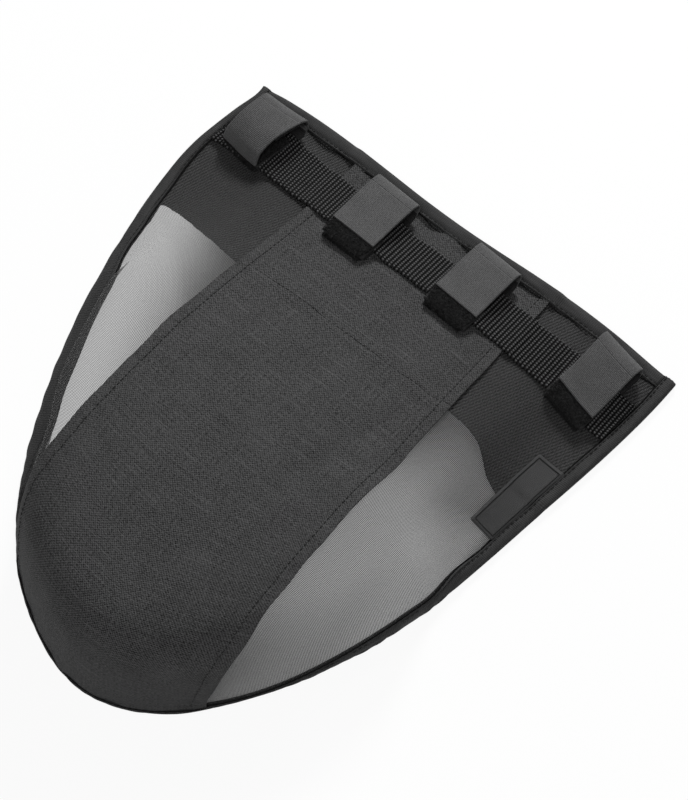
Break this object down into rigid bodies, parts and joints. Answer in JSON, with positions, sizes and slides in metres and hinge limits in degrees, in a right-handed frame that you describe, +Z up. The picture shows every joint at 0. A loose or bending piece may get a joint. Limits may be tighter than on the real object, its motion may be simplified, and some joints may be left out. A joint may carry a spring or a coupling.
{
  "type": "horse nose guard",
  "caption": "Domed canvas and mesh nose guard for a horse, with a bound rim and hook-and-loop straps that close over a noseband.",
  "frame": {"origin": "centre of the bounding box on the plane that the rim lies on", "axes": "+Y from the rounded tip to the straight top edge, +Z up through the crown, +X to the side with the label"},
  "size_m": [0.3124, 0.3525, 0.0816],
  "materials": {
    "canvas": "black plain-weave canvas",
    "mesh": "fine black mesh",
    "lining": "black lining cloth",
    "tape": "black binding tape",
    "webbing": "black ribbed webbing",
    "strap": "smooth charcoal tape",
    "pile": "fuzzy black loop pile",
    "hook": "black hook tape",
    "label": "matt black rubber, blank"
  },
  "bodies": {
    "cover": {"centre_panel": "canvas", "mesh_panel_left": "mesh", "mesh_panel_right": "mesh", "top_facing": "lining", "top_binding": "tape", "rim_binding": "tape", "webbing": "webbing", "label_patch": "label", "strap_1_base": "strap", "strap_1_loop_pad": "pile", "strap_2_base": "strap", "strap_2_loop_pad": "pile", "strap_3_base": "strap", "strap_3_loop_pad": "pile", "strap_4_base": "strap", "strap_4_loop_pad": "pile"},
    "flap_1": {"strap_1_flap": "strap", "strap_1_hook_pad": "hook"},
    "flap_2": {"strap_2_flap": "strap", "strap_2_hook_pad": "hook"},
    "flap_3": {"strap_3_flap": "strap", "strap_3_hook_pad": "hook"},
    "flap_4": {"strap_4_flap": "strap", "strap_4_hook_pad": "hook"}
  },
  "joints": [
    {"name": "strap_1_fold", "type": "hinge", "parent": "cover", "child": "flap_1", "pos_m": [-0.122, 0.1649, 0.01019], "axis": [-0.9996, -0.0276, 0.0014], "range_deg": [0, 130]},
    {"name": "strap_2_fold", "type": "hinge", "parent": "cover", "child": "flap_2", "pos_m": [-0.03601, 0.16644, 0.01156], "axis": [-1, -0.002, 0], "range_deg": [0, 130]},
    {"name": "strap_3_fold", "type": "hinge", "parent": "cover", "child": "flap_3", "pos_m": [0.03601, 0.16644, 0.01156], "axis": [-1, 0.002, 0], "range_deg": [0, 130]},
    {"name": "strap_4_fold", "type": "hinge", "parent": "cover", "child": "flap_4", "pos_m": [0.122, 0.1649, 0.01019], "axis": [-0.9996, 0.0276, -0.0014], "range_deg": [0, 130]}
  ]
}
